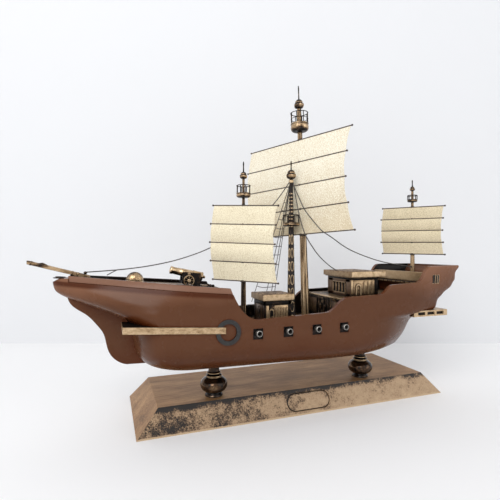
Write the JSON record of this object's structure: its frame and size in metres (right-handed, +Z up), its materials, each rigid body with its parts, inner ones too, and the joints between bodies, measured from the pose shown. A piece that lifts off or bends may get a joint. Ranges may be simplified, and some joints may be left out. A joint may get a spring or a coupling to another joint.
{
  "type": "model sailing ship",
  "caption": "Display model of a three-masted sailing ship with battened square sails, on a bevelled stand with two turned pedestals.",
  "frame": {"origin": "centre of the stand's flat underside", "axes": "+X towards the stern, -X towards the bow, -Y to port, +Z up"},
  "size_m": [0.425, 0.1415, 0.3314],
  "materials": {
    "hull_paint": "satin chocolate lacquer, a little lighter and pinker high on the sides",
    "rail_paint": "satin chocolate lacquer",
    "deck_paint": "dark stained, low sheen",
    "antique_brass": "cast, antique gold with black patina in the recesses",
    "dark_bronze": "blackened bronze, rubbed on the edges",
    "gunmetal": "dark slate grey, satin",
    "gun_steel": "worn bright rim on a dark barrel",
    "stand_wood": "brown stained top, front bevel rubbed with gold over black",
    "stand_plate": "bare plate, mottled gold and black",
    "bolt_steel": "plain",
    "sailcloth": "cream, fine speckled weave",
    "batten_wood": "dark stained, thin",
    "rope": "dark waxed thread"
  },
  "bodies": {
    "root": {"aft_cabin": "dark_bronze", "aft_cabin_door": "dark_bronze", "aft_cabin_roof": "antique_brass", "aft_cabin_window": "dark_bronze", "aft_stay": "rope", "bitt_post": "dark_bronze", "bow_fittings": "antique_brass", "bowsprit": "antique_brass", "cabin_stay": "rope", "cannon_axle": "antique_brass", "cannon_carriage": "antique_brass", "cutwater": "hull_paint", "fore_crows_nest": "antique_brass", "fore_finial": "antique_brass", "fore_mast": "antique_brass", "forecastle_deck": "deck_paint", "forecastle_dome": "antique_brass", "forecastle_rail": "rail_paint", "forestay": "rope", "front_pedestal": "antique_brass", "half_deck": "deck_paint", "half_deck_bulkhead": "dark_bronze", "hull": "hull_paint", "main_battens": "batten_wood", "main_crows_nest": "antique_brass", "main_deck": "deck_paint", "main_finial": "antique_brass", "main_mast": "antique_brass", "main_sail": "sailcloth", "midship_cabin": "dark_bronze", "midship_cabin_roof": "antique_brass", "mizzen_crows_nest": "antique_brass", "mizzen_finial": "antique_brass", "mizzen_mast": "antique_brass", "nameplate": "stand_plate", "pedestal_bolts": "bolt_steel", "poop_deck": "deck_paint", "poop_parapet": "deck_paint", "port_guns": "gun_steel", "port_ring": "gunmetal", "port_shelf": "antique_brass", "rear_pedestal": "antique_brass", "rigging_crows_nest": "antique_brass", "rigging_finial": "antique_brass", "rigging_mast": "antique_brass", "shroud_net": "rope", "stand_base": "stand_wood", "starboard_guns": "gun_steel", "starboard_ring": "gunmetal", "starboard_shelf": "antique_brass", "stern_gallery": "antique_brass", "stern_windows": "dark_bronze"},
    "fore_sail_body": {"fore_sail": "sailcloth", "fore_battens": "batten_wood"},
    "mizzen_sail_body": {"mizzen_sail": "sailcloth", "mizzen_battens": "batten_wood"},
    "barrel_body": {"cannon_barrel": "antique_brass"},
    "port_wheel_body": {"port_wheel": "antique_brass"},
    "starboard_wheel_body": {"starboard_wheel": "antique_brass"}
  },
  "joints": [
    {"name": "fore_sail_swing", "type": "hinge", "parent": "root", "child": "fore_sail_body", "pos_m": [-0.062, -0.0305, 0.17], "axis": [0, 0, 1], "range_deg": [0, 20]},
    {"name": "mizzen_sail_swing", "type": "hinge", "parent": "root", "child": "mizzen_sail_body", "pos_m": [0.147, -0.0305, 0.18], "axis": [0, 0, 1], "range_deg": [-25, 25]},
    {"name": "cannon_elevation", "type": "hinge", "parent": "root", "child": "barrel_body", "pos_m": [-0.11698, -0.0305, 0.13836], "axis": [0, 1, 0], "range_deg": [-12, 5]},
    {"name": "port_wheel_spin", "type": "hinge", "parent": "root", "child": "port_wheel_body", "pos_m": [-0.11753, -0.0305, 0.13229], "axis": [0, 1, 0], "continuous": true},
    {"name": "starboard_wheel_spin", "type": "hinge", "parent": "root", "child": "starboard_wheel_body", "pos_m": [-0.11753, -0.0305, 0.13229], "axis": [0, 1, 0], "continuous": true}
  ]
}
